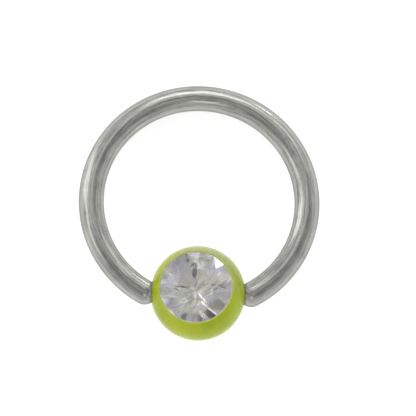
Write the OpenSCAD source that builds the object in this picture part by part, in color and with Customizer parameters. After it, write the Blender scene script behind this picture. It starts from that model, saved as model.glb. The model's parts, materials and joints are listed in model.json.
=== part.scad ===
// Captive bead ring for a piercing. A sprung steel hoop with domed ends holds
// a drilled acrylic bead, and a cut stone is glued into the bead's front.
// The ring lies on its side: the bead and the far side of the hoop touch z = 0.
// All sizes are in millimetres.

/* [Hoop] */
// Thickness of the steel wire
wire_d = 1.6; // [1.2:0.1:2]
// Clear width inside the hoop
hoop_inner_d = 12.15; // [10.5:0.05:16]

/* [Bead] */
// Diameter of the acrylic bead
bead_d = 6; // [5.6:0.1:7]
// How deep each domed end of the wire sits in the bead
end_depth = 0.42; // [0.3:0.02:0.5]
// Turn of the bead about the line through its two dimples, in degrees
bead_turn = 1; // [-180:1:180]
// Width of the flat land round the stone
land_w = 0.1; // [0.04:0.01:0.14]

/* [Stone] */
// Diameter of the stone at its girdle
stone_d = 4.5; // [4.2:0.02:4.8]
// Width of the table as a share of the stone's diameter
table_share = 0.48; // [0.44:0.01:0.62]
// Height of the crown as a share of the stone's diameter
crown_share = 0.15; // [0.11:0.01:0.17]
// Depth of the pavilion as a share of the stone's diameter
pavilion_share = 0.438; // [0.36:0.002:0.46]
// Sideways lean of the stone in the bead, in degrees
seat_lean = -6.5; // [-8:0.5:8]
// Turn of the stone's facets about its own axis, in degrees
stone_turn = 17; // [0:0.5:44.5]

/* [Hidden] */
$fn = 96;

// The hoop's circle, its opening and where the bead sits in it
wire_r = wire_d / 2;
bead_r = bead_d / 2;
hoop_r = (hoop_inner_d + wire_d) / 2;
dome_x = bead_r - end_depth + wire_r;
half_opening = asin(dome_x / hoop_r);
bead_y = hoop_r * cos(half_opening);

// How the ring lies when the bead and the far side of the hoop touch the ground
lie_tilt = asin((bead_r - wire_r) / (hoop_r + bead_y));
lie_height = wire_r + hoop_r * sin(lie_tilt);
back_y = hoop_r * cos(lie_tilt) + wire_r;
front_y = -bead_y * cos(lie_tilt) - bead_r;
middle_y = (back_y + front_y) / 2;

// Running gap round each domed end, and glue gap round the stone
end_gap = 0.05;
glue_gap = 0.02;

// The stone's heights above the bead's centre, along the stone's own axis
girdle_share = 0.03;
sunk_depth = 0.05;
stone_r = stone_d / 2;
seat_r = stone_r + glue_gap;
land_z = sqrt(pow(bead_r, 2) - pow(seat_r + land_w, 2));
girdle_top_z = land_z - sunk_depth;
girdle_low_z = girdle_top_z - girdle_share * stone_d;
table_z = girdle_top_z + crown_share * stone_d;
culet_z = girdle_low_z - pavilion_share * stone_d;
drill_tip_r = 0.15;

// The stone's mains come eight to the round with two halves to each of them,
// and each half facet meets the round girdle in a few short steps
sides = 8;
halves = 2 * sides;
steps = 4;
rim_count = halves * steps;
half_side = 360 / halves;
quarter_side = half_side / 2;
table_r = table_share * stone_r;
// How far the star facets reach from the table to the girdle
star_share = 0.5;
table_flat_r = table_r * cos(half_side);
star_r = table_flat_r + star_share * (stone_r - table_flat_r);
star_z = line_z(star_r * cos(half_side), table_r, table_z, stone_r, girdle_top_z);
// How far the lower halves reach from the girdle to the culet
lower_share = 0.76;
lower_r = (1 - lower_share) * stone_r;
lower_z = line_z(lower_r * cos(half_side), 0, culet_z, stone_r, girdle_low_z);
// How steeply the half facets of the crown and the back run out to the girdle
crown_slope = (girdle_top_z - star_z) / ((stone_r - star_r) * cos(quarter_side));
back_slope = (girdle_low_z - lower_z) / ((stone_r - lower_r) * cos(quarter_side));

// Height at radius r on the straight line from (r_a, z_a) to (r_b, z_b)
function line_z(r, r_a, z_a, r_b, z_b) =
    z_a + (z_b - z_a) * (r - r_a) / (r_b - r_a);

// A ring of count points, the first of them turned by the angle start
function ring_points(count, radius, z, start) =
    [for (i = [0 : count - 1])
        let (angle = start + i * 360 / count)
        [radius * cos(angle), radius * sin(angle), z]];

// The round girdle's edge where the flat half facets cut it, each of them lowest
// or highest half way along. It passes through height z where two facets meet.
function rim_points(z, slope) =
    [for (i = [0 : rim_count - 1])
        let (angle = i * 360 / rim_count)
        let (from_middle = (i % steps) * half_side / steps - quarter_side)
        [stone_r * cos(angle), stone_r * sin(angle),
            z + slope * stone_r * (cos(from_middle) - cos(quarter_side))]];

// Lays down what is drawn flat round the hoop's centre with the bead towards -Y
module laid_down() {
    translate([0, -middle_y, lie_height])
        rotate([-lie_tilt, 0, 0])
            children();
}

// Puts what is drawn round the bead's centre into the hoop's opening
module in_opening() {
    laid_down()
        translate([0, -bead_y, 0])
            rotate([bead_turn, 0, 0])
                children();
}

// Tips what is drawn along the stone's axis to the lean of its seat
module in_seat() {
    rotate([0, seat_lean, 0])
        children();
}

// Half a ball, flat on the plane z = 0 and round above it
module dome(radius) {
    intersection() {
        sphere(r = radius);
        translate([-radius, -radius, 0])
            cube([2 * radius, 2 * radius, radius]);
    }
}

// One domed end of the wire, which leaves the arc's end face at this angle
module wire_end(angle, turn) {
    rotate([0, 0, angle])
        translate([hoop_r, 0, 0])
            rotate([turn, 0, 0])
                dome(wire_r);
}

module hoop() {
    color([0.64, 0.64, 0.62])
        laid_down() {
            rotate([0, 0, half_opening - 90])
                rotate_extrude(angle = 360 - 2 * half_opening)
                    translate([hoop_r, 0])
                        circle(r = wire_r);
            wire_end(half_opening - 90, 90);
            wire_end(-half_opening - 90, -90);
        }
}

// The cavity for the stone, turned in one go: from the axis out, a flat drill tip,
// a cone, a bore for the girdle and the faced land
module seat_cut() {
    tip_z = culet_z - glue_gap;
    rotate_extrude()
        polygon([
            [0, tip_z],
            [drill_tip_r, tip_z],
            [seat_r, girdle_low_z],
            [seat_r, land_z],
            [bead_r, land_z],
            [bead_r, 2 * bead_r],
            [0, 2 * bead_r]]);
}

module bead() {
    color([0.65, 0.73, 0.18])
        in_opening()
            difference() {
                in_seat()
                    difference() {
                        sphere(r = bead_r);
                        seat_cut();
                    }
                for (side = [-1, 1])
                    translate([side * dome_x, 0, 0])
                        sphere(r = wire_r + end_gap);
            }
}

// A round brilliant with a pointed back. Each main ends on the girdle between two
// half facets, and each star or lower point stands half a side on from it.
module brilliant() {
    table = ring_points(sides, table_r, table_z, 0);
    stars = ring_points(sides, star_r, star_z, half_side);
    rim_top = rim_points(girdle_top_z, crown_slope);
    rim_low = rim_points(girdle_low_z, back_slope);
    lowers = ring_points(sides, lower_r, lower_z, half_side);

    // Where each ring starts in the joined list of points
    star_0 = sides;
    top_0 = star_0 + sides;
    low_0 = top_0 + rim_count;
    lower_0 = low_0 + rim_count;
    culet = lower_0 + sides;

    table_face = [[for (i = [sides - 1 : -1 : 0]) i]];
    star_faces = [for (i = [0 : sides - 1])
        [i, (i + 1) % sides, star_0 + i]];
    crown_mains = [for (i = [0 : sides - 1])
        [i, star_0 + i, top_0 + 2 * i * steps, star_0 + (i + sides - 1) % sides]];
    crown_halves = [for (i = [0 : halves - 1])
        concat(star_0 + floor(i / 2),
            [for (k = [steps : -1 : 0]) top_0 + (i * steps + k) % rim_count])];
    girdle_faces = [for (i = [0 : rim_count - 1])
        let (next = (i + 1) % rim_count)
        [top_0 + i, top_0 + next, low_0 + next, low_0 + i]];
    lower_halves = [for (i = [0 : halves - 1])
        concat(lower_0 + floor(i / 2),
            [for (k = [0 : steps]) low_0 + (i * steps + k) % rim_count])];
    back_mains = [for (i = [0 : sides - 1])
        [culet, lower_0 + (i + sides - 1) % sides, low_0 + 2 * i * steps, lower_0 + i]];

    polyhedron(
        points = concat(table, stars, rim_top, rim_low, lowers, [[0, 0, culet_z]]),
        faces = concat(table_face, star_faces, crown_mains, crown_halves,
            girdle_faces, lower_halves, back_mains));
}

module stone() {
    color([0.82, 0.82, 0.86])
        in_opening()
            in_seat()
                rotate([0, 0, stone_turn])
                    brilliant();
}

hoop();
bead();
stone();
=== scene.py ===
import json
import math

import bmesh
import bpy
from bpy.props import FloatProperty, FloatVectorProperty, IntProperty, PointerProperty
from mathutils import Matrix, Vector


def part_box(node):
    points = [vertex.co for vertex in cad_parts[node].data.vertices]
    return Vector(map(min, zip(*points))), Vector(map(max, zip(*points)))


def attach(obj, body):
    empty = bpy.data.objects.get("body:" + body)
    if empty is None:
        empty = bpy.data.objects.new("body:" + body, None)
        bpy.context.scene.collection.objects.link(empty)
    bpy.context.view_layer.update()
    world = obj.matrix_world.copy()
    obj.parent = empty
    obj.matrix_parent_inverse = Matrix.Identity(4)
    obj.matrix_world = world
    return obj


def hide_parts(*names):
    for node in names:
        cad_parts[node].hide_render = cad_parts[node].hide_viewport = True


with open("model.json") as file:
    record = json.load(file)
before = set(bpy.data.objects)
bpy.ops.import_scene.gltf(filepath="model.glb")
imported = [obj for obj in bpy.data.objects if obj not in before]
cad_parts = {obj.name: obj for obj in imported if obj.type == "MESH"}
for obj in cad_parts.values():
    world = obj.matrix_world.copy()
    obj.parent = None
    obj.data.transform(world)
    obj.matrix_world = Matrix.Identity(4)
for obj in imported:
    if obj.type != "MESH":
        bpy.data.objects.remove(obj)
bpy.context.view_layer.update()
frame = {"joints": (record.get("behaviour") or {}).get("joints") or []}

bl_info = {
    "name": "Captive Bead Ring",
    "version": (1, 0, 0),
    "blender": (4, 5, 0),
    "location": "3D View > Sidebar > Ring",
    "description": "Dresses a steel captive bead ring with a lime acrylic bead and a cut stone",
    "category": "Object",
}

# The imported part's own places, in metres. The ring lies with its bead towards -Y.
HOOP_LOW, HOOP_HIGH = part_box("hoop")
BEAD_CENTRE = Vector(frame["joints"][0]["pos_m"])
BEAD_R = BEAD_CENTRE.z
X_AXIS = Vector((1, 0, 0))
Y_AXIS = Vector((0, 1, 0))

# Blender's scene unit is the metre, and the ring's own sizes are thought of in millimetres
MM = 0.001


def length(name, default_mm, description):
    """A length in metres, given here in millimetres."""
    return FloatProperty(name=name, default=default_mm * MM, description=description,
                         subtype="DISTANCE", unit="LENGTH", precision=5)


def angle(name, default_deg, description):
    """An angle in radians, given here in degrees."""
    return FloatProperty(name=name, default=math.radians(default_deg), description=description,
                         subtype="ANGLE", unit="ROTATION")


def share(name, default, description):
    """A share of a whole, from 0 to 1."""
    return FloatProperty(name=name, default=default, description=description, min=0, max=1)


def colour(name, default, description):
    """A plain colour with no alpha."""
    return FloatVectorProperty(name=name, default=default, description=description,
                               subtype="COLOR", size=3, min=0, max=1)


class HoopSettings(bpy.types.PropertyGroup):
    wire_thickness: length("Wire thickness", 1.6, "Diameter of the hoop's round wire")
    bends: IntProperty(name="Steps along", default=320, min=32,
                       description="Points on the hoop's arc, with a straight step between each two")
    sides: IntProperty(name="Sides", default=64, min=16,
                       description="Sides of the wire's round section, a multiple of four")
    steel: colour("Steel", (0.41, 0.412, 0.387), "Colour that the polished wire reflects")
    line_contrast: share("Line contrast", 0.25, "How much darker and lighter the drawn lines are")
    # Painted shade: the wire's colour where it meets the bead, darkened as though shade falls there
    painted_shade: colour("Painted shade", (0.1, 0.105, 0.04), "Colour of the wire where it meets the bead")
    painted_shade_reach: length("Grime reach", 0.22, "How far from the bead there is grime on the wire")


class BeadSettings(bpy.types.PropertyGroup):
    turn: angle("Turn", 1, "Turn of the bead about the line through its two dimples")
    seat_lean: angle("Seat lean", -6.5, "Sideways lean of the stone's seat in the bead")
    end_gap: length("End gap", 0.012, "Gap between a domed wire end and the dimple that it presses on")
    land_width: length("Land width", 0.1, "Width of the faced land round the stone")
    glue_gap: length("Glue gap", 0.02, "Gap between the stone and its seat")
    drill_tip: length("Drill tip", 0.3, "Width of the flat that the drill leaves below the stone")
    edge: length("Edge", 0.012, "Width of the worn edge where two faces meet")
    body: colour("Body", (0.54, 0.665, 0.01), "Colour of the acrylic at its surface")
    warm: colour("Warm", (0.62, 0.69, 0.006), "Colour of the acrylic where its dye is warm")
    # Painted highlight: the pale colour lightens the bead's top, towards the hoop's middle, where light
    # reflects off it
    pale: colour("Pale", (0.56, 0.62, 0.27), "Colour of the acrylic where its dye is thin")
    # Painted shade: the deep colour darkens the bead's rim at the left, away from the hoop's middle
    deep: colour("Painted rim shade", (0.42, 0.5, 0.008), "Colour of the acrylic where its dye is strong")
    milled: colour("Milled", (0.72, 0.76, 0.2), "Colour of the acrylic where it is milled and matt")
    lime: colour("Depth", (0.8, 0.84, 0.06), "Colour of the clear acrylic in depth")
    clearness: share("Clearness", 0.4, "How much of the light goes through the acrylic")
    gloss: share("Gloss", 0.08, "How strongly the polished acrylic reflects")


class StoneSettings(bpy.types.PropertyGroup):
    diameter: length("Diameter", 4.5, "Diameter of the stone at its girdle")
    table: share("Table", 0.48, "Width of the table over the stone's diameter")
    crown: share("Crown", 0.15, "Height of the crown over the stone's diameter")
    girdle: share("Girdle", 0.03, "Height of the girdle over the stone's diameter")
    pavilion: share("Pavilion", 0.438, "Depth of the pavilion over the stone's diameter")
    stars: share("Stars", 0.5, "How far the star facets reach from the table to the girdle")
    lowers: share("Lower halves", 0.76, "How far the lower halves reach from girdle to culet")
    sunk: length("Sunk", 0.05, "How far the girdle lies below the bead's land")
    turn: angle("Facet turn", 17, "Turn of the facets about the stone's own axis")
    edge: length("Edge", 0.008, "Width of the rounded edge between two facets")
    glass: colour("Glass", (1.0, 1.0, 0.99), "Tint of the stone's glass")
    foil: colour("Foil", (0.9, 0.9, 0.86), "Colour that the silver foil reflects")
    bloom: colour("Bloom", (0.85, 0.83, 0.95), "Colour of the foil where it has a lilac bloom")
    frost: colour("Frost", (0.985, 0.97, 1.0), "Colour of the foil where it is frosted or creased")


class StageSettings(bpy.types.PropertyGroup):
    floor_width: length("Floor width", 1600, "Width of the pale floor")
    floor: colour("Floor", (0.7, 0.7, 0.7), "Colour of the matt floor")
    glow: FloatProperty(name="Floor glow", default=0.66, min=0,
                        description="Light that comes up through the floor, as on a light table")
    fill: FloatProperty(name="Fill light", default=1, min=0,
                        description="Strength of the even light from the white room")
    light_distance: length("Light distance", 400, "From each lamp to the middle of the hoop")
    light_width: length("Light width", 160, "Width of each softbox")
    light_height: length("Light height", 132, "Height of each softbox")
    glint_size: length("Glint size", 36, "Width and height of the small lamp that glints in the stone")
    camera_distance: length("Camera distance", 220, "From the lens to the middle of the hoop")
    view_width: length("View width", 26.49, "Width of what the picture shows, at the ring")
    look_right: length("Look right", 0.555, "How far right of the hoop's middle the camera aims")
    look_down: length("Look down", 0.385, "How far below the hoop's middle the camera aims")
    roll: angle("Roll", 1.2, "Turn of the camera about its own line of sight")


class RingSettings(bpy.types.PropertyGroup):
    hoop: PointerProperty(type=HoopSettings)
    bead: PointerProperty(type=BeadSettings)
    stone: PointerProperty(type=StoneSettings)
    stage: PointerProperty(type=StageSettings)


def settings(context):
    """The ring's settings, which the scene holds."""
    return context.scene.ring_settings


class Hoop:
    """Where the hoop's circle lies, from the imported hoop's box and the bead's centre."""

    def __init__(self, sizes):
        self.wire_r = sizes.wire_thickness / 2
        self.radius = (HOOP_HIGH.x - HOOP_LOW.x) / 2 - self.wire_r
        far_end = Vector((0, HOOP_HIGH.y - self.wire_r, self.wire_r))
        self.forward = (far_end - BEAD_CENTRE).normalized()
        self.centre = far_end - self.forward * self.radius
        self.normal = X_AXIS.cross(self.forward)
        bead_distance = (BEAD_CENTRE - self.centre).length
        self.half_opening = math.acos(bead_distance / self.radius)
        self.dome_x = self.radius * math.sin(self.half_opening)

    def matrix(self):
        """Takes a hoop drawn flat round the origin, with its bead towards -Y, to its place."""
        turn = Matrix((X_AXIS, self.forward, self.normal)).transposed().to_4x4()
        return Matrix.Translation(self.centre) @ turn


def bead_matrix(hoop, bead):
    """Takes what is drawn round the bead's centre, with the stone up +Z, to its place."""
    lie = hoop.matrix()
    lie.translation = BEAD_CENTRE
    return lie @ Matrix.Rotation(bead.turn, 4, "X") @ Matrix.Rotation(bead.seat_lean, 4, "Y")


class Seat:
    """Heights of the seat and the stone above the bead's centre, along the stone's axis."""

    def __init__(self, bead, stone):
        self.stone_r = stone.diameter / 2
        self.bore_r = self.stone_r + bead.glue_gap
        self.land_r = self.bore_r + bead.land_width
        self.land_z = math.sqrt(BEAD_R ** 2 - self.land_r ** 2)
        self.girdle_top = self.land_z - stone.sunk
        self.girdle_low = self.girdle_top - stone.girdle * stone.diameter
        self.table_z = self.girdle_top + stone.crown * stone.diameter
        self.culet_z = self.girdle_low - stone.pavilion * stone.diameter


class Nodes:
    """Adds nodes to a tree. A socket given as a value is linked, and anything else is set."""

    def __init__(self, tree, material=None):
        self.tree = tree
        self.material = material

    def add(self, kind, inputs=None, **facts):
        node = self.tree.nodes.new(kind)
        for name, value in facts.items():
            setattr(node, name, value)
        for name, value in (inputs or {}).items():
            self.put(value, node.inputs[name])
        return node

    def put(self, value, socket):
        if isinstance(value, bpy.types.NodeSocket):
            self.tree.links.new(value, socket)
        else:
            socket.default_value = value

    def math(self, operation, a, b=0.0):
        return self.add("ShaderNodeMath", {0: a, 1: b}, operation=operation).outputs[0]

    def mix(self, fac, a, b):
        """Colour a where fac is 0 and colour b where it is 1, and in between a mix of the two."""
        node = self.tree.nodes.new("ShaderNodeMix")
        node.data_type = "RGBA"
        for value, socket in ((fac, node.inputs[0]), (a, node.inputs[6]), (b, node.inputs[7])):
            self.put(value, socket)
        return node.outputs[2]

    def ramp(self, fac, stops):
        node = self.add("ShaderNodeValToRGB", {"Fac": fac})
        elements = node.color_ramp.elements
        while len(elements) < len(stops):
            elements.new(0.5)
        for element, (position, value) in zip(elements, stops):
            element.position = position
            element.color = opaque(value)
        return node.outputs["Color"]

    def fit(self, value, span, result):
        """Takes a value that lies in one span to the same place in another, and no further."""
        return self.add("ShaderNodeMapRange", {
            "Value": value, "From Min": span[0], "From Max": span[1],
            "To Min": result[0], "To Max": result[1]}).outputs["Result"]

    def place(self):
        """The place on the piece, in metres."""
        return self.add("ShaderNodeTexCoord").outputs["Object"]

    def noise(self, place, scale, detail, roughness=0.5):
        """Cloudy noise from 0 to 1, with so many clouds to each unit of the place."""
        return self.add("ShaderNodeTexNoise", {"Vector": place, "Scale": scale, "Detail": detail,
                                               "Roughness": roughness}).outputs["Fac"]

    def finished(self, shader, depth=None):
        """The material with this shader on its surface, and a volume where one is given."""
        ends = {"Surface": shader.outputs["BSDF"]}
        if depth:
            ends["Volume"] = depth.outputs["Volume"]
        self.add("ShaderNodeOutputMaterial", ends)
        return self.material


def new_material(name):
    """The nodes of a new material, which has none yet."""
    material = bpy.data.materials.new(name)
    material.use_nodes = True
    material.node_tree.nodes.clear()
    return Nodes(material.node_tree, material)


def opaque(shade):
    return (*shade, 1)


def grey(value):
    return (value, value, value)


def scaled(shade, times):
    return [part * times for part in shade]


# The drawn lines: how many there are to the wire's radius, how much slower they change in each
# radian along the hoop, and how deep they look
LINES_TO_RADIUS = 11.0
LINES_ALONG = 0.45
LINE_DEPTH = 0.02 * MM
LINE_RELIEF = 0.4

# The wear comes in patches a little over a millimetre wide. The lines and the wear mottle the
# steel's colour by these shares, and the steel is roughest where it is most worn.
WEAR_SCALE = 0.9 / MM
LINES_SHARE = 0.7
WEAR_SHARE = 0.3
STEEL_ROUGH = (0.15, 0.26)

# The domed ends are ground: how much rougher they are, and where that begins and is full, in
# radians round the hoop past the arc's two end faces
GROUND_ROUGH = 0.08
GRINDING_FROM = (-0.03, 0.04)

# How strong the painted shade is where the wire meets the bead's surface, and how much of its colour
# the steel still reflects when it is seen nearly edge-on
PAINTED_SHADE_STRENGTH = 0.8
STEEL_EDGE_ON = grey(0.55)


def drawn_steel(colours, half_opening):
    """Polished stainless wire with fine lines left along it by the drawing die."""
    n = new_material("drawn steel")
    along = n.add("ShaderNodeAttribute", attribute_name="wire_lines").outputs["Vector"]
    place = n.place()
    stretched = n.add("ShaderNodeMapping", {"Vector": along, "Scale": (1, 1, LINES_ALONG)}).outputs["Vector"]
    lines = n.noise(stretched, LINES_TO_RADIUS, detail=3, roughness=0.65)
    wear = n.noise(place, WEAR_SCALE, detail=3, roughness=0.6)

    # A line is darker where the die has drawn a groove, and lighter where it has burnished a ridge
    mottled = n.math("ADD", n.math("MULTIPLY", lines, LINES_SHARE), n.math("MULTIPLY", wear, WEAR_SHARE))
    groove = scaled(colours.steel, 1 - colours.line_contrast)
    ridge = scaled(colours.steel, 1 + colours.line_contrast)
    shade = n.ramp(mottled, [(0.36, groove), (0.5, colours.steel), (0.64, ridge)])
    grooved = n.add("ShaderNodeBump", {"Height": lines, "Strength": LINE_RELIEF, "Distance": LINE_DEPTH})

    # Past the arc's end faces are the ground domes, a little less bright
    round_hoop = n.add("ShaderNodeSeparateXYZ", {0: along}).outputs["Z"]
    past_arc = n.math("SUBTRACT", n.math("ABSOLUTE", round_hoop), math.pi - half_opening)
    ground = n.fit(past_arc, GRINDING_FROM, (0, GROUND_ROUGH))
    rough = n.math("ADD", n.fit(wear, (0.3, 0.7), STEEL_ROUGH), ground)

    # Shade is painted on the domes where they meet the bead, darkest at the bead and fading out along the
    # wire
    from_bead = n.add("ShaderNodeVectorMath", {0: place, 1: BEAD_CENTRE}, operation="DISTANCE")
    painted_shade = n.fit(from_bead.outputs["Value"], (BEAD_R, BEAD_R + colours.painted_shade_reach), (PAINTED_SHADE_STRENGTH, 0))
    shade = n.mix(painted_shade, shade, opaque(colours.painted_shade))
    return n.finished(n.add("ShaderNodeBsdfPrincipled", {
        "Base Color": shade, "Metallic": 1.0, "Specular Tint": opaque(STEEL_EDGE_ON),
        "Normal": grooved.outputs["Normal"], "Roughness": rough}))


# Patches of colour on the acrylic: painted shade on the rim at the left, away from the hoop's middle,
# a warm patch where the dye is uneven, and a painted highlight on the top. Each has the setting with
# its colour, its middle as seen from the bead's centre, and its width, in millimetres
DYE_AND_PAINTED_LIGHT_PATCHES = (
    # Painted shade on the bead's rim at the left, away from the hoop's middle
    ("deep", (-2.1, -2.1, 0.1), 4.0),
    ("warm", (-1.0, -2.4, 1.5), 3.4),
    # Painted highlight on the bead's top, towards the hoop's middle
    ("pale", (0.4, 2.5, 1.6), 7.0),
)

# How dark and how light the acrylic's cloudy places are, as shares of its own colour, and how
# rough it is where it is polished and where it is milled
CLOUD_DARK = 0.9
CLOUD_LIGHT = 1.04
POLISHED_ROUGH = (0.04, 0.1)
MILLED_ROUGH = (0.35, 0.55)
MILLED_CLEARNESS = 0.3

# Acrylic bends light by this much, and a metre of depth takes up so much of it
ACRYLIC_IOR = 1.49
ACRYLIC_DENSITY = 600.0

# How the acrylic's haze scatters light below its surface: how much of it, how far the light
# goes, and the shares of that for red, green and blue
HAZE_SHARE = 0.6
HAZE_REACH = 0.8 * MM
HAZE_SPREAD = (1.0, 1.0, 0.3)


def clear_depth(n, colours):
    """The lime tint that light takes on as it goes through the acrylic."""
    return n.add("ShaderNodeVolumeAbsorption", {"Color": opaque(colours.lime), "Density": ACRYLIC_DENSITY})


def lime_acrylic(colours):
    """Clear polished acrylic, with a warmer patch where its dye is uneven, a deeper patch of painted shade
    on its rim at the left and a paler patch of painted highlight on its top.
    """
    n = new_material("lime acrylic")
    place = n.place()
    cloud = n.noise(place, 1.1 / MM, detail=3, roughness=0.6)
    shade = n.ramp(cloud, [(0.35, scaled(colours.body, CLOUD_DARK)),
                           (0.65, scaled(colours.body, CLOUD_LIGHT))])
    # The deep and pale patches paint shade and a highlight, and the warm one is uneven dye
    for name, middle, width in DYE_AND_PAINTED_LIGHT_PATCHES:
        reach = width / 2 * MM
        own = n.add("ShaderNodeMapping", {
            "Vector": place, "Location": BEAD_CENTRE + Vector(middle) * MM,
            "Scale": (reach, reach, reach)}, vector_type="TEXTURE", label=name).outputs["Vector"]
        near = n.add("ShaderNodeTexGradient", {"Vector": own}, gradient_type="SPHERICAL").outputs["Fac"]
        # The cloud makes the patch's edge uneven too
        dyed = n.math("MULTIPLY", near, n.math("ADD", cloud, CLOUD_DARK))
        shade = n.mix(n.math("MINIMUM", dyed, 1.0), shade, opaque(getattr(colours, name)))
    polish = n.noise(place, 0.7 / MM, detail=2)
    shader = n.add("ShaderNodeBsdfPrincipled", {
        "Base Color": shade, "IOR": ACRYLIC_IOR, "Transmission Weight": colours.clearness,
        "Subsurface Weight": HAZE_SHARE, "Subsurface Radius": HAZE_SPREAD, "Subsurface Scale": HAZE_REACH,
        "Specular IOR Level": colours.gloss, "Roughness": n.fit(polish, (0, 1), POLISHED_ROUGH)})
    return n.finished(shader, clear_depth(n, colours))


def milled_acrylic(colours):
    """Matt acrylic where the mill has cut it: the land, the stone's seat and the two dimples."""
    n = new_material("milled acrylic")
    marks = n.noise(n.place(), 9 / MM, detail=2)
    shade = n.ramp(marks, [(0.35, scaled(colours.milled, CLOUD_DARK)), (0.65, colours.milled)])
    shader = n.add("ShaderNodeBsdfPrincipled", {
        "Base Color": shade, "IOR": ACRYLIC_IOR, "Transmission Weight": MILLED_CLEARNESS,
        "Roughness": n.fit(marks, (0, 1), MILLED_ROUGH)})
    return n.finished(shader, clear_depth(n, colours))


# Glass bends light by this much, and its polish is a little hazed in places
GLASS_IOR = 1.56
GLASS_HAZE = 0.06


def stone_glass(colours):
    """The glass of the stone's crown, with a faint haze left by its polishing and by wear."""
    n = new_material("stone glass")
    haze = n.noise(n.place(), 1.6 / MM, detail=3, roughness=0.6)
    return n.finished(n.add("ShaderNodeBsdfPrincipled", {
        "Base Color": opaque(colours.glass), "IOR": GLASS_IOR, "Transmission Weight": 1.0,
        "Roughness": n.fit(haze, (0.45, 0.7), (0, GLASS_HAZE))}))


# Marks in the foil, as seen from the stone's front: where the middle of each lies to the right
# of the stone's axis and up from it, its turn in degrees, its length and width, and how strong
# it is from 0 to 1. Places, lengths and widths are in millimetres.
TARNISH = (
    ("wedge", 0.86, -1.52, -60, 1.35, 0.64, 1.0),
    ("shoulder", 1.22, -0.93, -35, 1.5, 0.75, 0.5),
    ("bar", -0.12, 1.08, 86, 0.85, 0.36, 0.85),
    ("speck", -0.5, 1.6, 90, 0.4, 0.28, 0.7),
    ("brow", 0.4, 1.62, -5, 1.0, 0.32, 0.4),
    ("scratch", -0.8, 0.15, 0, 0.7, 0.14, 0.7),
    ("foot", -0.3, -1.55, 10, 1.3, 0.7, 0.2),
)
LILAC_MARKS = (
    ("strip", 1.24, 1.17, -5, 1.2, 0.5, 1.0),
    ("patch", -1.37, 1.46, 45, 1.0, 0.9, 1.0),
    ("low_spot", -1.43, -0.92, 70, 0.8, 0.5, 1.0),
)
FROSTED = (
    ("clouded", -0.75, 1.15, 110, 2.3, 1.3, 1.0),
)
CREASES = (
    ("centre_ray", 0.24, -0.38, -46, 1.3, 0.2, 0.65),
    ("left_ray", 0.26, -1.38, -52, 1.7, 0.34, 1.0),
    ("right_ray", 0.97, -1.33, -50, 1.3, 0.2, 0.8),
)

# A mark fades in over this much of the way from its edge to its middle, and it reaches through
# the stone from front to back
MARK_EDGE = 0.35
MARK_DEPTH_MM = 1000

# The way up the slant of a crease, in degrees round the stone's axis, and its slope
SLANT_WAY = 228
SLANT_SLOPE = 0.16

# How much a lilac mark lifts the bloom, and how much the foil still reflects where it is
# tarnished. Then its roughness where it is bright, and how much rougher it is where it is
# frosted or creased.
LILAC_LIFT = 0.5
TARNISHED = 0.22
FOIL_ROUGH = (0.1, 0.2)
FROSTED_ROUGH = 0.6
CREASED_ROUGH = 0.12


def foil_marks(n, place, marks):
    """How much of any of the marks lies at a place on the stone, from 0 to 1."""
    whole = None
    for name, right, up, turn, long, wide, strength in marks:
        own = n.add("ShaderNodeMapping", {
            "Vector": place, "Location": (right, up, 0), "Rotation": (0, 0, math.radians(turn)),
            "Scale": (long / 2, wide / 2, MARK_DEPTH_MM)}, vector_type="TEXTURE", label=name)
        near = n.add("ShaderNodeTexGradient", {"Vector": own.outputs["Vector"]}, gradient_type="SPHERICAL")
        mark = n.fit(near.outputs["Fac"], (0, MARK_EDGE), (0, strength))
        whole = mark if whole is None else n.math("MAXIMUM", whole, mark)
    return whole


def silver_foil(colours, seated):
    """Silver foil on the stone's back: tarnished, frosted and creased in places, with lilac bloom."""
    n = new_material("silver foil")
    place = n.place()
    on_stone = n.add("ShaderNodeMapping", {
        "Vector": place, "Location": seated.translation, "Rotation": seated.to_euler(),
        "Scale": (MM, MM, MM)}, vector_type="TEXTURE").outputs["Vector"]
    grain = n.noise(place, 1.5 / MM, detail=2)
    bloom = n.noise(place, 0.9 / MM, detail=1)
    frosted = foil_marks(n, on_stone, FROSTED)
    creased = foil_marks(n, on_stone, CREASES)

    # The lilac bloom comes through the noise's high places, and wherever a lilac mark lifts it
    lilac = n.math("MULTIPLY", foil_marks(n, on_stone, LILAC_MARKS), LILAC_LIFT)
    bloomed = n.ramp(n.math("ADD", bloom, lilac), [(0.54, grey(0)), (0.68, grey(1))])
    shade = n.mix(frosted, opaque(colours.foil), opaque(colours.frost))
    shade = n.mix(bloomed, shade, opaque(colours.bloom))
    shade = n.mix(foil_marks(n, on_stone, TARNISH), shade, opaque(scaled(colours.foil, TARNISHED)))
    shade = n.mix(creased, shade, opaque(colours.frost))

    # A crease is a slanted strip, so it mirrors a lamp that the foil round it doesn't
    way = math.radians(SLANT_WAY)
    rise = n.add("ShaderNodeVectorMath", {0: on_stone, 1: (math.cos(way), math.sin(way), 0)},
                 operation="DOT_PRODUCT").outputs["Value"]
    slanted = n.add("ShaderNodeBump", {"Height": rise, "Strength": creased, "Distance": SLANT_SLOPE * MM})
    worn = n.math("ADD", n.math("MULTIPLY", frosted, FROSTED_ROUGH),
                  n.math("MULTIPLY", creased, CREASED_ROUGH))
    return n.finished(n.add("ShaderNodeBsdfPrincipled", {
        "Base Color": shade, "Metallic": 1.0, "Normal": slanted.outputs["Normal"],
        "Roughness": n.math("ADD", n.fit(grain, (0, 1), FOIL_ROUGH), worn)}))


# How much darker the floor's cloudy places are, as a share of its own colour
FLOOR_CLOUD = 0.985
FLOOR_ROUGH = 0.9


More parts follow.
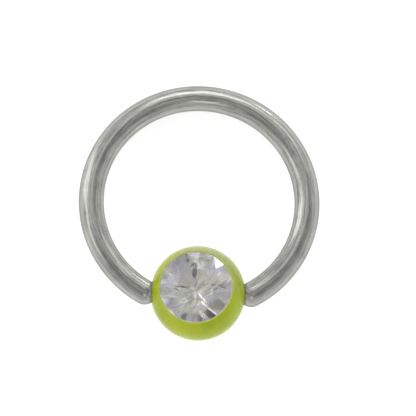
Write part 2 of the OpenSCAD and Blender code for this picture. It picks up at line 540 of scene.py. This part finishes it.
def pale_floor(stage):
    """A pale sheet of opal plastic, lit from above and softly from below."""
    n = new_material("pale floor")
    cloud = n.noise(n.place(), 0.04 / MM, detail=3)
    shade = n.ramp(cloud, [(0.3, scaled(stage.floor, FLOOR_CLOUD)), (0.7, stage.floor)])
    return n.finished(n.add("ShaderNodeBsdfPrincipled", {
        "Base Color": shade, "Roughness": FLOOR_ROUGH, "Specular IOR Level": 0.2,
        "Emission Color": opaque(grey(1)), "Emission Strength": stage.glow}))


def piece(name, mesh):
    """A new object in the scene with this mesh, both of the same name."""
    mesh.name = name
    made = bpy.data.objects.new(name, mesh)
    bpy.context.scene.collection.objects.link(made)
    return made


def plain_mesh(thing):
    """An object's mesh with its modifiers applied."""
    found = thing.evaluated_get(bpy.context.evaluated_depsgraph_get())
    return bpy.data.meshes.new_from_object(found)


def mesh_from(name, bm):
    """A new mesh with what was drawn in a bmesh, which is then freed."""
    mesh = bpy.data.meshes.new(name)
    bm.to_mesh(mesh)
    bm.free()
    return mesh


# Points of the wire closer than this are one point
SAME_WIRE_POINT = 0.002 * MM


def bent_wire(n, given, start, sweep):
    """The round wire along the hoop's arc, open at both ends."""
    arc = n.add("GeometryNodeCurveArc", {"Resolution": given["Steps"], "Radius": given["Hoop radius"],
                                         "Start Angle": start, "Sweep Angle": sweep}).outputs["Curve"]
    section = n.add("GeometryNodeCurvePrimitiveCircle", {
        "Resolution": given["Sides"], "Radius": given["Wire radius"]}).outputs["Curve"]
    return n.add("GeometryNodeCurveToMesh", {"Curve": arc, "Profile Curve": section}).outputs["Mesh"]


def dome_of_wire(n, given):
    """The upper half of a ball as wide as the wire."""
    ball = n.add("GeometryNodeMeshUVSphere", {
        "Segments": given["Sides"], "Rings": n.math("DIVIDE", given["Sides"], 2.0),
        "Radius": given["Wire radius"]}).outputs["Mesh"]
    height = n.add("ShaderNodeSeparateXYZ", {0: n.add("GeometryNodeInputPosition").outputs[0]}).outputs["Z"]
    below = n.math("LESS_THAN", height, -SAME_WIRE_POINT / 2)
    return n.add("GeometryNodeDeleteGeometry", {"Geometry": ball, "Selection": below},
                 domain="POINT").outputs["Geometry"]


def at_end(n, given, dome, half_step, side):
    """The dome put on the arc's right-hand end, for a side of 1, or its left-hand end, for -1."""
    turn = n.math("ADD", n.math("MULTIPLY", given["Half opening"], side), -math.pi / 2)
    x = n.math("MULTIPLY", given["Hoop radius"], n.math("COSINE", turn))
    y = n.math("MULTIPLY", given["Hoop radius"], n.math("SINE", turn))
    place = n.add("ShaderNodeCombineXYZ", {"X": x, "Y": y}).outputs[0]
    # The pole points out of the arc's end, square to the arc's last straight step
    last_step = n.math("ADD", turn, n.math("MULTIPLY", half_step, side))
    facing = n.add("ShaderNodeCombineXYZ", {"X": side * math.pi / 2, "Z": last_step}).outputs[0]
    return n.add("GeometryNodeTransform", {
        "Geometry": dome, "Translation": place, "Rotation": facing}).outputs["Geometry"]


def drawn_lines(n, given):
    """A place that changes slowly along the wire and fast around it: how far it lies out from
    the wire's middle and up from it, in wire radii, and how far round the hoop, in radians."""
    where = n.add("ShaderNodeSeparateXYZ", {0: n.add("GeometryNodeInputPosition").outputs[0]}).outputs
    flat = n.add("ShaderNodeCombineXYZ", {"X": where["X"], "Y": where["Y"]}).outputs[0]
    from_middle = n.add("ShaderNodeVectorMath", {0: flat}, operation="LENGTH").outputs["Value"]
    out = n.math("DIVIDE", n.math("SUBTRACT", from_middle, given["Hoop radius"]), given["Wire radius"])
    up = n.math("DIVIDE", where["Z"], given["Wire radius"])
    round_hoop = n.math("ARCTAN2", where["X"], where["Y"])
    return n.add("ShaderNodeCombineXYZ", {"X": out, "Y": up, "Z": round_hoop}).outputs[0]


def hoop_tree(material):
    """Geometry nodes that bend a round wire to an open circle and dome its two ends."""
    tree = bpy.data.node_groups.new("hoop wire", "GeometryNodeTree")
    face = tree.interface
    for name, kind in (("Hoop radius", "NodeSocketFloat"), ("Wire radius", "NodeSocketFloat"),
                       ("Half opening", "NodeSocketFloat"), ("Steps", "NodeSocketInt"),
                       ("Sides", "NodeSocketInt")):
        face.new_socket(name, in_out="INPUT", socket_type=kind)
    face.new_socket("Geometry", in_out="OUTPUT", socket_type="NodeSocketGeometry")
    n = Nodes(tree)
    given = n.add("NodeGroupInput").outputs

    # The arc runs from the right-hand end, over the far side, to the left-hand end
    start = n.math("SUBTRACT", given["Half opening"], math.pi / 2)
    sweep = n.math("SUBTRACT", 2 * math.pi, n.math("MULTIPLY", given["Half opening"], 2.0))
    step = n.math("DIVIDE", sweep, n.math("SUBTRACT", given["Steps"], 1.0))
    half_step = n.math("DIVIDE", step, 2.0)
    dome = dome_of_wire(n, given)
    parts = [bent_wire(n, given, start, sweep)]
    parts += [at_end(n, given, dome, half_step, side) for side in (1, -1)]
    joined = n.add("GeometryNodeJoinGeometry")
    for part in parts:
        tree.links.new(part, joined.inputs["Geometry"])
    whole = n.add("GeometryNodeMergeByDistance", {
        "Geometry": joined.outputs["Geometry"], "Distance": SAME_WIRE_POINT}).outputs["Geometry"]

    marked = n.add("GeometryNodeStoreNamedAttribute", {
        "Geometry": whole, "Name": "wire_lines", "Value": drawn_lines(n, given)},
        data_type="FLOAT_VECTOR", domain="POINT").outputs["Geometry"]
    smooth = n.add("GeometryNodeSetShadeSmooth", {"Geometry": marked}).outputs["Geometry"]
    real = n.add("GeometryNodeRealizeInstances", {"Geometry": smooth}).outputs["Geometry"]
    done = n.add("GeometryNodeSetMaterial", {"Geometry": real, "Material": material}).outputs["Geometry"]
    n.add("NodeGroupOutput", {"Geometry": done})
    return tree


def from_tree(name, tree, inputs):
    """Runs a geometry node tree and keeps its result as a plain mesh object."""
    holder = piece(name + " maker", bpy.data.meshes.new(name + " maker"))
    modifier = holder.modifiers.new("nodes", "NODES")
    modifier.node_group = tree
    for item in tree.interface.items_tree:
        if item.name in inputs:
            modifier[item.identifier] = inputs[item.name]
    mesh = plain_mesh(holder)
    holder.modifiers.remove(modifier)
    bpy.data.objects.remove(holder)
    return piece(name, mesh)


class RING_OT_hoop(bpy.types.Operator):
    """Make the steel hoop in place of its CAD node"""
    bl_idname = "ring.hoop"
    bl_label = "Steel Hoop"

    def execute(self, context):
        sizes = settings(context).hoop
        hoop = Hoop(sizes)
        wire = from_tree("hoop_wire", hoop_tree(drawn_steel(sizes, hoop.half_opening)), {
            "Hoop radius": hoop.radius, "Wire radius": hoop.wire_r,
            "Half opening": hoop.half_opening, "Steps": sizes.bends, "Sides": sizes.sides})
        wire.data.transform(hoop.matrix())
        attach(wire, "hoop")
        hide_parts("hoop")
        return {"FINISHED"}


# The ball's steps from the land to its back and round its axis, and those of each dimple
BALL_STEPS_DOWN = 96
BALL_STEPS_ROUND = 192
DIMPLE_STEPS_DOWN = 48
DIMPLE_STEPS_ROUND = 96

# Points of the ball closer than this are one point
SAME_BALL_POINT = 0.0005 * MM

# What lies this far out, as a share of the ball's radius, is its own polished surface
POLISHED_FROM = 0.998

# Two of the bead's faces meet in a sharp edge where they turn by more than this, in degrees
SHARP_FROM = 30


def bead_profile(seat, bead):
    """(radius, height) pairs from the drilled tip, up the seat, over the land and round the ball."""
    tip_z = seat.culet_z - bead.glue_gap
    profile = [(0, tip_z), (bead.drill_tip / 2, tip_z), (seat.bore_r, seat.girdle_low),
               (seat.bore_r, seat.land_z - bead.edge), (seat.bore_r + bead.edge, seat.land_z)]
    start = math.asin(seat.land_r / BEAD_R)
    for i in range(BALL_STEPS_DOWN):
        down = start + (math.pi - start) * i / BALL_STEPS_DOWN
        profile.append((BEAD_R * math.sin(down), BEAD_R * math.cos(down)))
    return profile + [(0, -BEAD_R)]


def lathe(profile):
    """A closed mesh turned round Z from (radius, height) pairs that start and end on the axis."""
    bm = bmesh.new()
    points = [bm.verts.new((r, 0, z)) for r, z in profile]
    edges = [bm.edges.new(pair) for pair in zip(points, points[1:])]
    bmesh.ops.spin(bm, geom=points + edges, axis=(0, 0, 1), cent=(0, 0, 0),
                   angle=2 * math.pi, steps=BALL_STEPS_ROUND, use_merge=True)
    bmesh.ops.remove_doubles(bm, verts=bm.verts, dist=SAME_BALL_POINT)
    bmesh.ops.recalc_face_normals(bm, faces=bm.faces)
    return mesh_from("lathe", bm)


def cut_dimple(ball, centre, radius):
    """Cuts a round dimple in a mesh object."""
    bm = bmesh.new()
    bmesh.ops.create_uvsphere(bm, u_segments=DIMPLE_STEPS_ROUND, v_segments=DIMPLE_STEPS_DOWN,
                              radius=radius)
    mesh = mesh_from("dimple", bm)
    mesh.transform(Matrix.Translation(centre))
    cutter = piece("dimple", mesh)
    cut = ball.modifiers.new("dimple", "BOOLEAN")
    cut.operation = "DIFFERENCE"
    cut.solver = "EXACT"
    cut.object = cutter
    cut_mesh = plain_mesh(ball)
    ball.modifiers.remove(cut)
    ball.data = cut_mesh
    bpy.data.objects.remove(cutter)


class RING_OT_bead(bpy.types.Operator):
    """Make the acrylic bead in place of its CAD node"""
    bl_idname = "ring.bead"
    bl_label = "Acrylic Bead"

    def execute(self, context):
        given = settings(context)
        hoop = Hoop(given.hoop)
        ball = piece("lime_bead", lathe(bead_profile(Seat(given.bead, given.stone), given.bead)))
        ball.data.transform(bead_matrix(hoop, given.bead))
        for side in (1, -1):
            cut_dimple(ball, BEAD_CENTRE + X_AXIS * side * hoop.dome_x, hoop.wire_r + given.bead.end_gap)

        mesh = ball.data
        mesh.name = "lime_bead"
        mesh.materials.clear()
        mesh.materials.append(lime_acrylic(given.bead))
        mesh.materials.append(milled_acrylic(given.bead))
        for polygon in mesh.polygons:
            polygon.use_smooth = True
            # The ball's own surface is polished, and whatever lies deeper is milled
            polished = (polygon.center - BEAD_CENTRE).length > POLISHED_FROM * BEAD_R
            polygon.material_index = 0 if polished else 1
        mesh.set_sharp_from_angle(angle=math.radians(SHARP_FROM))
        # The photographed wire shows no green, so the bead is left out of what the steel mirrors
        ball.visible_glossy = False
        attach(ball, "bead")
        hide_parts("bead")
        return {"FINISHED"}


# The stone's mains come eight to the round with two halves to each of them, and each half facet
# meets the round girdle in a few short steps
MAINS = 8
HALVES = 2 * MAINS
STEPS = 4
HALF_SIDE = 2 * math.pi / HALVES
QUARTER_SIDE = HALF_SIDE / 2


def ring_of(count, radius, z, start=0.0):
    """Points of a level ring, the first of them turned by the angle start."""
    return [(radius * math.cos(start + i * 2 * math.pi / count),
             radius * math.sin(start + i * 2 * math.pi / count), z) for i in range(count)]


def on_line(r, low, high):
    """Height at radius r on the straight line between two (radius, height) points."""
    return low[1] + (high[1] - low[1]) * (r - low[0]) / (high[0] - low[0])


def girdle_rim(stone_r, z, inner_r, inner_z):
    """The round girdle's edge where the flat half facets cut it. They run in from it to points
    at another radius and height."""
    slope = (z - inner_z) / ((stone_r - inner_r) * math.cos(QUARTER_SIDE))
    rim = []
    for i, (x, y, _) in enumerate(ring_of(HALVES * STEPS, stone_r, z)):
        from_middle = (i % STEPS) * HALF_SIDE / STEPS - QUARTER_SIDE
        rim.append((x, y, z + slope * stone_r * (math.cos(from_middle) - math.cos(QUARTER_SIDE))))
    return rim


def brilliant(seat, stone):
    """The stone's facets as flat polygons: the crown, then the foiled back with the girdle."""
    table_r = stone.table * seat.stone_r
    flat_r = table_r * math.cos(HALF_SIDE)
    star_r = flat_r + stone.stars * (seat.stone_r - flat_r)
    star_z = on_line(star_r * math.cos(HALF_SIDE), (table_r, seat.table_z), (seat.stone_r, seat.girdle_top))
    lower_r = (1 - stone.lowers) * seat.stone_r
    lower_z = on_line(lower_r * math.cos(HALF_SIDE), (0, seat.culet_z), (seat.stone_r, seat.girdle_low))
    bm = bmesh.new()

    def add(points):
        return [bm.verts.new(point) for point in points]

    table = add(ring_of(MAINS, table_r, seat.table_z))
    stars = add(ring_of(MAINS, star_r, star_z, HALF_SIDE))
    top = add(girdle_rim(seat.stone_r, seat.girdle_top, star_r, star_z))
    low = add(girdle_rim(seat.stone_r, seat.girdle_low, lower_r, lower_z))
    lowers = add(ring_of(MAINS, lower_r, lower_z, HALF_SIDE))
    culet = bm.verts.new((0, 0, seat.culet_z))

    front = [table]
    back = []
    for i in range(MAINS):
        main = 2 * i * STEPS
        front.append([table[i], stars[i], table[(i + 1) % MAINS]])
        front.append([table[i], stars[i - 1], top[main], stars[i]])
        back.append([culet, lowers[i], low[main], lowers[i - 1]])
    for i in range(HALVES):
        rim_part = [(i * STEPS + k) % len(top) for k in range(STEPS + 1)]
        front.append([stars[i // 2]] + [top[k] for k in rim_part])
        back.append([lowers[i // 2]] + [low[k] for k in reversed(rim_part)])
    for corners in front:
        bm.faces.new(corners)
    for corners in back:
        bm.faces.new(corners).material_index = 1
    facet_edges = list(bm.edges)
    for i, point in enumerate(top):
        after = (i + 1) % len(top)
        bm.faces.new([point, low[i], low[after], top[after]]).material_index = 1

    # The edges between two facets are rounded, and the girdle's two rims stay sharp
    low_rim = set(low)
    facet_edges = [edge for edge in facet_edges
                   if len({face.material_index for face in edge.link_faces}) == 1
                   and not (edge.verts[0] in low_rim and edge.verts[1] in low_rim)]
    bmesh.ops.bevel(bm, geom=facet_edges, offset=stone.edge, segments=2, profile=0.5,
                    affect="EDGES", clamp_overlap=True)
    bmesh.ops.recalc_face_normals(bm, faces=bm.faces)
    return mesh_from("cut_stone", bm)


class RING_OT_stone(bpy.types.Operator):
    """Make the cut stone in place of its CAD node"""
    bl_idname = "ring.stone"
    bl_label = "Cut Stone"

    def execute(self, context):
        given = settings(context)
        mesh = brilliant(Seat(given.bead, given.stone), given.stone)
        seated = bead_matrix(Hoop(given.hoop), given.bead)
        mesh.transform(seated @ Matrix.Rotation(given.stone.turn, 4, "Z"))
        mesh.materials.append(stone_glass(given.stone))
        mesh.materials.append(silver_foil(given.stone, seated))
        stone = piece("cut_stone", mesh)
        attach(stone, "bead")
        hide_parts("stone")
        return {"FINISHED"}


# Softboxes round the ring: where each stands, as degrees round from +X and up from the floor,
# and its power in watts
SOFTBOXES = (
    ("back", 90, 35, 0.147),
    ("back_high", 90, 58, 0.047),
    ("back_left", 150, 12, 0.093),
    ("back_left_high", 150, 35, 0.081),
    ("left", 180, 35, 0.054),
    ("left_above", 135, 58, 0.03),
    ("back_right", 60, 35, 0.047),
    ("front", 270, 58, 0.07),
    ("right_overhead", 0, 80, 0.036),
    ("left_overhead", 180, 80, 0.031),
)

# The small lamp that one crown facet mirrors to the camera, given in the same way
GLINT = ("glint", 64, 7, 0.038)

# How bright the white room is at each height, from its walls to the dark above the camera,
# where a height is the sine of the angle up from the floor
ROOM = ((0.0, 0.8), (0.3, 0.8), (0.6, 0.74), (0.82, 0.38), (0.95, 0.3), (1.0, 0.1))

# The camera stands a little to the left and to the bead's side of straight above
TO_CAMERA = Vector((-0.039, -0.092, 0.995)).normalized()

# The width of the camera's sensor in millimetres, and how near and how far it sees in metres
SENSOR_MM = 36
NEAREST = 10 * MM
FARTHEST = 10000 * MM


def aimed(round_deg, up_deg):
    """The direction from the ring to what stands so many degrees round from +X and up."""
    round_turn = math.radians(round_deg)
    up_turn = math.radians(up_deg)
    return Vector((math.cos(up_turn) * math.cos(round_turn), math.cos(up_turn) * math.sin(round_turn),
                   math.sin(up_turn)))


def white_room(fill):
    """Even light from a plain room that is white at its walls and dim overhead."""
    world = bpy.data.worlds.new("studio")
    world.use_nodes = True
    n = Nodes(world.node_tree)
    background = world.node_tree.nodes["Background"]
    ray = n.add("ShaderNodeTexCoord").outputs["Generated"]
    height = n.add("ShaderNodeSeparateXYZ", {0: ray}).outputs["Z"]
    n.put(n.ramp(height, [(z, grey(level)) for z, level in ROOM]), background.inputs["Color"])
    background.inputs["Strength"].default_value = fill
    return world


def softbox(stand, middle, distance, width, height):
    """A soft rectangular light that stands at a distance from the ring and faces it."""
    name, round_deg, up_deg, power = stand
    data = bpy.data.lights.new(name, "AREA")
    data.shape = "RECTANGLE"
    data.size = width
    data.size_y = height
    data.energy = power
    towards = aimed(round_deg, up_deg)
    light = bpy.data.objects.new(name, data)
    light.location = middle + towards * distance
    light.rotation_euler = towards.to_track_quat("Z", "Y").to_euler()
    light.visible_camera = False
    bpy.context.scene.collection.objects.link(light)


def flat_floor(stage):
    """A square floor round the origin."""
    half = stage.floor_width / 2
    mesh = bpy.data.meshes.new("floor")
    mesh.from_pydata([(-half, -half, 0), (half, -half, 0), (half, half, 0), (-half, half, 0)],
                     [], [(0, 1, 2, 3)])
    mesh.materials.append(pale_floor(stage))
    return piece("floor", mesh)


def aimed_camera(stage, middle):
    """A camera that looks down on the ring, with the bead at the foot of its picture."""
    right = Y_AXIS.cross(TO_CAMERA).normalized()
    up = TO_CAMERA.cross(right)
    turn = Matrix((right, up, TO_CAMERA)).transposed() @ Matrix.Rotation(stage.roll, 3, "Z")
    aim = middle + turn.col[0] * stage.look_right - turn.col[1] * stage.look_down
    data = bpy.data.cameras.new("camera")
    data.sensor_width = SENSOR_MM
    data.lens = SENSOR_MM * stage.camera_distance / stage.view_width
    data.clip_start = NEAREST
    data.clip_end = FARTHEST
    camera = bpy.data.objects.new("camera", data)
    camera.matrix_world = Matrix.Translation(aim + TO_CAMERA * stage.camera_distance) @ turn.to_4x4()
    bpy.context.scene.collection.objects.link(camera)
    return camera


class RING_OT_stage(bpy.types.Operator):
    """Lay the floor, set the lights and aim the camera"""
    bl_idname = "ring.stage"
    bl_label = "Floor, Lights and Camera"

    def execute(self, context):
        given = settings(context).stage
        middle = Hoop(settings(context).hoop).centre
        flat_floor(given)
        for stand in SOFTBOXES:
            softbox(stand, middle, given.light_distance, given.light_width, given.light_height)
        softbox(GLINT, middle, given.light_distance, given.glint_size, given.glint_size)
        context.scene.world = white_room(given.fill)
        context.scene.view_settings.view_transform = "Standard"
        context.scene.camera = aimed_camera(given, middle)
        return {"FINISHED"}


class RING_PT_panel(bpy.types.Panel):
    """Lists the ring's pieces and their sizes"""
    bl_idname = "RING_PT_panel"
    bl_label = "Captive Bead Ring"
    bl_space_type = "VIEW_3D"
    bl_region_type = "UI"
    bl_category = "Ring"

    def draw(self, context):
        given = settings(context)
        for operator, group in ((RING_OT_hoop, given.hoop), (RING_OT_bead, given.bead),
                                (RING_OT_stone, given.stone), (RING_OT_stage, given.stage)):
            box = self.layout.box()
            box.operator(operator.bl_idname)
            for name in group.__annotations__:
                box.prop(group, name)


CLASSES = (HoopSettings, BeadSettings, StoneSettings, StageSettings, RingSettings,
           RING_OT_hoop, RING_OT_bead, RING_OT_stone, RING_OT_stage, RING_PT_panel)


def register():
    for item in CLASSES:
        bpy.utils.register_class(item)
    bpy.types.Scene.ring_settings = PointerProperty(type=RingSettings)


def unregister():
    del bpy.types.Scene.ring_settings
    for item in reversed(CLASSES):
        bpy.utils.unregister_class(item)


def main():
    register()
    bpy.ops.ring.stage()
    bpy.ops.ring.hoop()
    bpy.ops.ring.bead()
    bpy.ops.ring.stone()
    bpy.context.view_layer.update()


if __name__ == "__main__":
    main()
